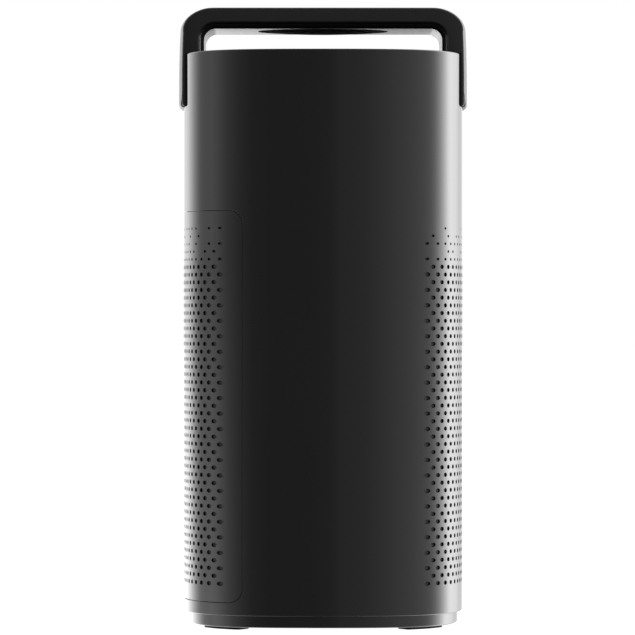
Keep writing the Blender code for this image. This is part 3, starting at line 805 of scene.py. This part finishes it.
def lower_curve(depth):
    """How far the band's inner side rises towards its front and back edges."""
    way = min(1.0, max(0.0, (abs(depth) - FLAT) / (HALF_DEPTH - FLAT)))
    return FLARE * (1 - math.sqrt(1 - 0.97 * way ** 2)) + 0.0004 * way


def long_edge(side, radius, shares):
    """(depth, rise) points of a rounded long edge of the band, from its face (0) to its side (1)."""
    turns = [math.pi / 2 * share for share in shares]
    return [(side * (HALF_DEPTH - radius * (1 - math.sin(a))), radius * (1 - math.cos(a))) for a in turns]


def band_section(crown):
    """The band's section as (depth, share, offset), anticlockwise from the front's lower edge."""
    pocket, flare_end, edge = FLAT + FIT, HALF_DEPTH - INNER_ROUND, lower_curve(HALF_DEPTH)
    depths = flare_end - (flare_end - pocket) * np.linspace(0, 1, 16) ** 2
    fifths = [i / 5 for i in range(6)]
    section = [(-d, 0, lower_curve(d)) for d in depths]
    section += [(-pocket, 0, LINER + FIT), (pocket, 0, LINER + FIT)]
    section += [(d, 0, lower_curve(d)) for d in reversed(depths)]
    section += [(d, 0, edge + rise) for d, rise in long_edge(1, INNER_ROUND, (1 / 3, 2 / 3, 1))]
    section += [(d, 1, -crown - rise) for d, rise in long_edge(1, OUTER_ROUND, reversed(fifths))]
    for d in np.linspace(HALF_DEPTH - OUTER_ROUND, -HALF_DEPTH + OUTER_ROUND, 27)[1:-1]:
        section.append((d, 1, -crown * (abs(d) / HALF_DEPTH) ** 2.2))
    section += [(d, 1, -crown - rise) for d, rise in long_edge(-1, OUTER_ROUND, fifths)]
    section += [(d, 0, edge + rise) for d, rise in long_edge(-1, INNER_ROUND, (2 / 3, 1 / 3))]
    return section


def sweep(name, path, section_at):
    """A closed section lofted along pairs of inner and outer points, with flat ends."""
    points, faces = [], []
    for number, (inner, outer) in enumerate(path):
        low, high = Vector((inner[0], 0, inner[1])), Vector((outer[0], 0, outer[1]))
        out = (high - low).normalized()
        section = section_at(number / (len(path) - 1))
        points += [low.lerp(high, share) + out * offset + Vector((0, depth, 0))
                   for depth, share, offset in section]
    count = len(section)
    for row in range(len(path) - 1):
        for i in range(count):
            j = (i + 1) % count
            faces.append((row * count + i, (row + 1) * count + i, (row + 1) * count + j, row * count + j))
    faces.append(tuple(range(count)))
    faces.append(tuple(len(points) - 1 - i for i in range(count)))
    return build_mesh(name, points, faces, 30)


def build_handle():
    path = handle_path()
    bar_crown, arm_crown = 0.0017, 0.0036

    def band_at(way):
        """The section at a share of the way along, more crowned on the arms than on the bar."""
        arm = min(1.0, max(0.0, (abs(way - 0.5) - 0.03) * 8))
        return band_section(bar_crown + (arm_crown - bar_crown) * arm)

    band = sweep("handle", path, band_at)
    reach, corner, far = HALF_DEPTH + 0.002, 0.016, 0.2
    lower = []
    across = Matrix(((0, 0, 1, 0), (1, 0, 0, 0), (0, 1, 0, 0), (0, 0, 0, 1)))
    for side in (-1, 1):
        outline = rounded([(side * reach, ARM_END - 0.01, 0), (side * reach, ARM_END + corner, 0),
                           (side * HALF_DEPTH, ARM_END + corner, 0), (side * HALF_DEPTH, ARM_END, corner),
                           (side * (HALF_DEPTH - corner), ARM_END, 0),
                           (side * (HALF_DEPTH - corner), ARM_END - 0.01, 0)], 12)
        if side < 0:
            outline.reverse()
        lower.append(plate("arm_corner", [outline], [(0, -far), (0, far)], across))
    body = plate("body_space", [squircle(BODY_HALF + FIT)],
                 [(0, ARM_END - 0.02), (0, DECK[1].z + FIT)])
    wall = plate("wall_space", [squircle(BODY_HALF + FIT), squircle(BODY_HALF - WALL - 2 * FIT)],
                 [(0, DECK[1].z - 0.001), (0, RIM_Z + FIT)])
    carve(band, *lower, body, wall, sharp=30)
    dress(band, handle_plastic, "housing", "handle_band")

    edge = 0.0003
    strip = [(-FLAT, 0, edge), (-FLAT, 0, LINER), (FLAT, 0, LINER), (FLAT, 0, edge),
             (FLAT - edge, 0, 0)] + [(d, 0, 0) for d in np.linspace(FLAT - edge, -FLAT + edge, 9)[1:]]
    inner_side = [pair for pair in path if pair[0][1] > DECK[1].z]
    start_z = DECK[1].z + FIT
    inner_side[0] = ((-INNER_HALF, start_z), (-OUTER_HALF, start_z))
    inner_side[-1] = ((INNER_HALF, start_z), (OUTER_HALF, start_z))
    liner = sweep("handle_lining", inner_side, lambda _: strip)
    dress(liner, liner_plastic, "housing", "handle_liner")

    flares = []
    proud, sunk, flare_end = 0.00005, 0.0003, HALF_DEPTH - INNER_ROUND
    depths = flare_end - (flare_end - FLAT - FIT) * (1 - np.linspace(1, 0, 16) ** 2)
    for side in (-1, 1):
        skin = [(side * d, 0, lower_curve(d) - proud) for d in depths]
        skin += [(side * d, 0, lower_curve(d) + sunk) for d in reversed(depths)]
        if side > 0:
            skin.reverse()
        flares.append(sweep("handle_flare", inner_side, lambda _, skin=skin: skin))
    merge(*flares)
    dress(flares[0], matt_plastic, "housing", "handle_band")

    half_x, half_y = GRIP[1].x, GRIP[1].y
    low = UNDERSIDE - FIT / 2
    depth, bedded = low - GRIP[0].z, 0.0004
    dome = [(half_x * reach, low - depth * (1 - reach ** 2)) for reach in (i / 24 for i in range(25))]
    dome += [(half_x - bedded, UNDERSIDE + bedded), (0, UNDERSIDE + bedded)]
    grip = turned("grip", dome, 128)
    grip.data.transform(Matrix.Diagonal((1, half_y / half_x, 1, 1)))
    dress(grip, grip_rubber, "housing", "grip_pad")


# The top

def build_top():
    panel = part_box("control_panel")
    panel_y = (panel[0].y + panel[1].y) / 2
    panel_size = (panel[1].x - panel[0].x, panel[1].y - panel[0].y)
    outlet, radius = (0, 0.010), 0.080
    pocket = box_outline([side + 2 * FIT for side in panel_size], (0, panel_y), 0.006, 10)
    deck = plate("deck", [squircle(DECK[1].x), circle(radius, 128, outlet), pocket],
                 edges_rounded(DECK[0].z, DECK[1].z, 0, 0.0004, 3))
    dress(deck, shell_plastic, "housing", "top_deck")

    slots = []
    rib, count = 0.0026, 32
    for inner, outer in ((0.026, 0.049), (0.052, 0.0755)):
        for number in range(count):
            middle = math.tau * number / count
            corners = []
            for reach, side in ((inner, -1), (outer, -1), (outer, 1), (inner, 1)):
                a = middle + side * (math.pi / count - rib / 2 / reach)
                corners.append((reach * math.cos(a), outlet[1] + reach * math.sin(a), 0.0009))
            slots.append(rounded(corners, 4))
    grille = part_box("outlet_grille")
    louvre = plate("grille", [circle(radius - FIT, 128, outlet)] + slots,
                   edges_rounded(grille[0].z, grille[1].z, 0, 0.0006, 3))
    dress(louvre, grille_plastic, "housing", "outlet_grille")

    button_radius, button_round = 0.007, 0.0006
    flange_radius, flange_low, flange_high, stem_radius = 0.009, 0.466, 0.468, 0.0025
    lens = plate("panel_lens", [box_outline(panel_size, (0, panel_y), 0.0057, 12),
                                circle(button_radius + FIT, 64, (0, panel_y)),
                                circle(0.0018, 32, (0.028, panel_y))],
                 edges_rounded(panel[0].z, panel[1].z, 0, 0.0003, 3))
    dress(lens, panel_gloss, "housing", "control_panel")

    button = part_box("power_button")
    top = button[1].z
    cap = [(0, button[0].z), (stem_radius, button[0].z), (stem_radius, flange_low),
           (flange_radius, flange_low), (flange_radius, flange_high), (button_radius, flange_high)]
    cap += [(button_radius - button_round * (1 - math.cos(a)), top - button_round * (1 - math.sin(a)))
            for a in (math.pi / 2 * i / 5 for i in range(6))]
    cap += [(0.004, top - 0.0001), (0, top - 0.00015)]
    dress(turned("button_cap", cap, 64, (0, panel_y)), button_plastic, "button", "power_button")
    turns = [math.radians(125 + 290 * i / 40) for i in range(41)]
    ring = [(0.0023 * math.cos(a), panel_y + 0.0023 * math.sin(a)) for a in turns]
    ring += [(0.0019 * math.cos(a), panel_y + 0.0019 * math.sin(a)) for a in reversed(turns)]
    mark = plate("power_mark", [ring], [(0, top - 0.0002), (0, top - 0.00003)])
    bar = plate("power_mark_bar", [box_outline((0.0004, 0.0020), (0, panel_y + 0.0019), 0.00015, 3)],
                [(0, top - 0.0002), (0, top - 0.00003)])
    dress(merge(mark, bar), print_white, "button", "power_button")


# The filter

def build_filter():
    sleeve_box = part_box("prefilter_sleeve")
    radius = sleeve_box[1].y
    low, high = sleeve_box[0].z, sleeve_box[1].z
    sleeve = turned("prefilter", [(radius - 0.001, low), (radius, low), (radius, high),
                                  (radius - 0.001, high)], 160)
    dress(sleeve, net_fabric, "filter", "prefilter_sleeve")
    for node, hole in (("filter_bottom_cap", None), ("filter_top_cap", 0.060)):
        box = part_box(node)
        loops = [circle(radius, 160)] + ([circle(hole, 96)] if hole else [])
        cap = plate(node + "_fine", loops, edges_rounded(box[0].z, box[1].z, 0.0012, 0.0012))
        dress(cap, filter_cap, "filter", node)
    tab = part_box("filter_pull_tab")
    size = (tab[1].x - tab[0].x, tab[1].y - tab[0].y)
    center = ((tab[0].x + tab[1].x) / 2, 0)
    strap = plate("pull_tab", [box_outline(size, center, 0.003, 8)],
                  edges_rounded(tab[0].z, tab[1].z, 0.0005, 0.0005, 3))
    dress(strap, webbing, "filter", "filter_pull_tab")


# The fan

def build_impeller():
    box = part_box("fan_impeller")
    radius = box[1].y
    bore, plate_z, low, eye = 0.0043, 0.4125, 0.370, 0.062
    root, tip, lean, half_thick = 0.042, radius - 0.001, 0.62, 0.0008
    hub = [(bore, plate_z - 0.0195), (0.010, plate_z - 0.0195), (0.012, plate_z - 0.0165),
           (0.014, plate_z - 0.012), (0.018, plate_z - 0.0065), (0.024, plate_z - 0.003),
           (0.034, plate_z - 0.0018), (radius, plate_z), (radius, plate_z + 0.002),
           (0.014, plate_z + 0.0035), (bore, plate_z + 0.0035)]
    wheel = turned("impeller", hub, 128)
    shroud = turned("shroud", [(eye, low), (radius, low), (radius, low + 0.003), (eye, low + 0.003)], 128)
    blades = []
    count = 14
    for number in range(count):
        outline = []
        for side, shares in ((1, range(13)), (-1, range(12, -1, -1))):
            for i in shares:
                share = i / 12
                reach = root + (tip - root) * share
                a = math.tau * number / count + lean * share ** 1.3 + side * half_thick / reach
                outline.append((reach * math.cos(a), reach * math.sin(a)))
        blades.append(plate("blade", [outline], [(0, low + 0.0015), (0, plate_z + 0.001)]))
    dress(merge(wheel, shroud, *blades), impeller_plastic, "fan", "fan_impeller")


def build_inlet():
    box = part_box("power_inlet")
    recess_depth = 0.012
    floor = box[1].y - recess_depth
    outline = box_outline((box[1].x - box[0].x, box[1].z - box[0].z), (0, -SOCKET_Z), 0.002, 6)
    recess = box_outline((0.020, 0.012), (0, -SOCKET_Z), 0.004, 8)
    turn = Matrix(((1, 0, 0, 0), (0, 0, 1, 0), (0, -1, 0, 0), (0, 0, 0, 1)))
    front = plate("inlet", [outline, recess], edges_rounded(floor, box[1].y, 0, 0.0005, 3), turn)
    back = plate("inlet_back", [outline], [(0, box[0].y), (0, floor)], turn)
    dress(merge(front, back), component_plastic, "housing", "power_inlet")


# Materials of the pieces that keep their CAD shape

zinc = moulded("zinc", (0.42, 0.42, 0.43), 0.32, metallic=1.0)
bright_steel = moulded("bright_steel", (0.56, 0.56, 0.57), 0.24, metallic=1.0)
grille_plastic = moulded("grille_plastic", SHELL, 0.34)
gasket_foam = moulded("gasket_foam", (0.02, 0.02, 0.02), 0.9, bump=0.5, grain=900.0)
motor_can = moulded("motor_can", (0.28, 0.29, 0.30), 0.35, metallic=1.0)
mount_metal = moulded("mount_metal", (0.35, 0.36, 0.37), 0.42, metallic=1.0)
panel_gloss = moulded("panel_gloss", (0.003, 0.003, 0.0035), 0.08, spread=0.01, bump=0.0)
light_pipe = emitting("light_pipe", (0.35, 0.85, 0.60), 0.6)
circuit_board = moulded("circuit_board", (0.015, 0.12, 0.05), 0.3, grain=700.0)
component_plastic = moulded("component_plastic", (0.008, 0.008, 0.009), 0.4)
brass = moulded("brass", (0.75, 0.60, 0.32), 0.22, metallic=1.0)
grip_rubber = moulded("grip_rubber", (0.014, 0.014, 0.014), 0.75, bump=0.1, grain=2600.0, level=0.05)
impeller_plastic = moulded("impeller_plastic", (0.02, 0.02, 0.022), 0.35)
filter_cap = moulded("filter_cap", (0.22, 0.23, 0.24), 0.5)
filter_paper = moulded("filter_paper", (0.80, 0.81, 0.79), 0.9, bump=0.3, grain=500.0)
carbon = moulded("carbon", (0.012, 0.012, 0.012), 0.85, bump=1.0, grain=420.0)
net_fabric = moulded("net_fabric", (0.03, 0.03, 0.033), 0.7, bump=0.8, grain=1500.0)
webbing = moulded("webbing", (0.04, 0.17, 0.30), 0.75, bump=0.6, grain=1200.0)
button_plastic = moulded("button_plastic", (0.010, 0.010, 0.011), 0.35)
print_white = moulded("print_white", (0.65, 0.66, 0.66), 0.5)

build_housing()
build_door()
build_net(1, "housing", "main_housing")
build_net(-1, "door", "door_panel")
build_base()
build_flange()
build_handle()
build_top()
build_filter()
build_impeller()
build_inlet()

KEPT = (
    (inner_plastic, "door_post_front door_post_back filter_seat partition inlet_ring fan_duct door_frame"),
    (bright_steel, "door_magnet_front door_magnet_back impeller_nut motor_shaft"),
    (gasket_foam, "filter_gasket"),
    (motor_can, "fan_motor particle_sensor"),
    (mount_metal, "motor_mount"),
    (light_pipe, "status_light"),
    (circuit_board, "control_board main_board"),
    (component_plastic, "tact_switch board_capacitor_1 board_capacitor_2 door_switch"),
    (brass, "inlet_pin_1 inlet_pin_2"),
    (filter_paper, "filter_media"),
    (carbon, "carbon_core"),
    (zinc, "motor_screw_1 motor_screw_2 motor_screw_3"),
    (zinc, "handle_screw_1 handle_screw_2 handle_screw_3 handle_screw_4"),
)
for material, names in KEPT:
    for name in names.split():
        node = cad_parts[name]
        node.data.materials.clear()
        node.data.materials.append(material)


# Studio

def build_studio():
    floor = build_mesh("floor", [(-30, -30, 0), (30, -30, 0), (30, 30, 0), (-30, 30, 0)], [(0, 1, 2, 3)])
    made, tree, shader = principled("floor_white")
    fill(shader, {"Base Color": (0.85, 0.85, 0.85, 1), "Roughness": 0.9, "Emission Color": (1, 1, 1, 1),
                  "Emission Strength": 0.93})
    floor.data.materials.append(made)
    floor.visible_glossy = False
    floor.visible_diffuse = False

    # Brightness of the studio around the object, by the compass angle from the camera's side, in degrees
    tones = ((-180, 1.2), (-165, 1.35), (-150, 2.15), (-138, 2.2), (-126, 1.75), (-112, 1.09), (-100, 1.08),
             (-84, 1.28), (-72, 1.14), (-56, 0.72), (-40, 0.44), (-26, 0.28), (-10, 0.24), (0.29, 0.25),
             (0.31, 0.38), (8, 0.47), (14, 0.58), (28, 0.79), (44, 0.98), (60, 1.22), (68, 1.40), (76, 1.70),
             (84, 2.4), (92, 3.6), (100, 5.1), (108, 6.6), (117, 7.7), (125, 6.8), (134, 4.8), (150, 2.15),
             (160, 1.3), (180, 1.0))
    peak = max(tone for _, tone in tones)
    world = bpy.data.worlds.new("studio")
    bpy.context.scene.world = world
    world.use_nodes = True
    tree = world.node_tree
    tree.nodes.clear()
    place = add_node(tree, "ShaderNodeTexCoord")
    split = add_node(tree, "ShaderNodeSeparateXYZ", links={"Vector": place.outputs["Generated"]})
    flip = add_node(tree, "ShaderNodeMath", {1: -1}, {0: split.outputs["Y"]})
    flip.operation = "MULTIPLY"
    compass = add_node(tree, "ShaderNodeMath", links={0: split.outputs["X"], 1: flip.outputs[0]})
    compass.operation = "ARCTAN2"
    turn = add_node(tree, "ShaderNodeMapRange", {"From Min": -math.pi, "From Max": math.pi},
                    {"Value": compass.outputs[0]})
    ramp = add_node(tree, "ShaderNodeValToRGB", links={"Fac": turn.outputs["Result"]})
    stops = ramp.color_ramp.elements
    while len(stops) > 1:
        stops.remove(stops[-1])
    for number, (angle, tone) in enumerate(tones):
        position = (angle + 180) / 360
        stop = stops[0] if number == 0 else stops.new(position)
        stop.position = position
        stop.color = (tone / peak, tone / peak, tone / peak, 1)
    # The left of the studio grows brighter towards its floor
    falling = {"From Min": 0.012, "From Max": -0.072, "To Max": 0.62 * peak}
    low = add_node(tree, "ShaderNodeMapRange", falling, {"Value": split.outputs["Z"]})
    left = add_node(tree, "ShaderNodeMapRange", {"From Min": 0.455, "From Max": 0.335},
                    {"Value": turn.outputs["Result"]})
    lift = add_node(tree, "ShaderNodeMath", {2: peak}, {0: low.outputs[0], 1: left.outputs[0]})
    lift.operation = "MULTIPLY_ADD"
    studio = add_node(tree, "ShaderNodeBackground",
                      links={"Color": ramp.outputs["Color"], "Strength": lift.outputs[0]})
    white = add_node(tree, "ShaderNodeBackground", {"Color": (1, 1, 1, 1), "Strength": 1.0})
    path = add_node(tree, "ShaderNodeLightPath")
    mix = add_node(tree, "ShaderNodeMixShader",
                   links={0: path.outputs["Is Camera Ray"], 1: studio.outputs[0], 2: white.outputs[0]})
    add_node(tree, "ShaderNodeOutputWorld", links={"Surface": mix.outputs[0]})


def build_camera():
    distance, height, lens = 3.55, 0.2626, 232.55
    azimuth = math.radians(-0.2)
    back = Vector((math.sin(azimuth), -math.cos(azimuth), 0))
    right = Vector((math.cos(azimuth), math.sin(azimuth), 0))
    camera = link("camera", bpy.data.cameras.new("camera"))
    camera.data.sensor_width = 36
    camera.data.lens = lens
    camera.data.clip_end = 100
    camera.location = back * distance - right * 0.0047 + Vector((0, 0, height))
    camera.rotation_euler = (math.pi / 2, 0, azimuth)
    bpy.context.scene.camera = camera


build_studio()
build_camera()
bpy.context.scene.view_settings.view_transform = "Standard"
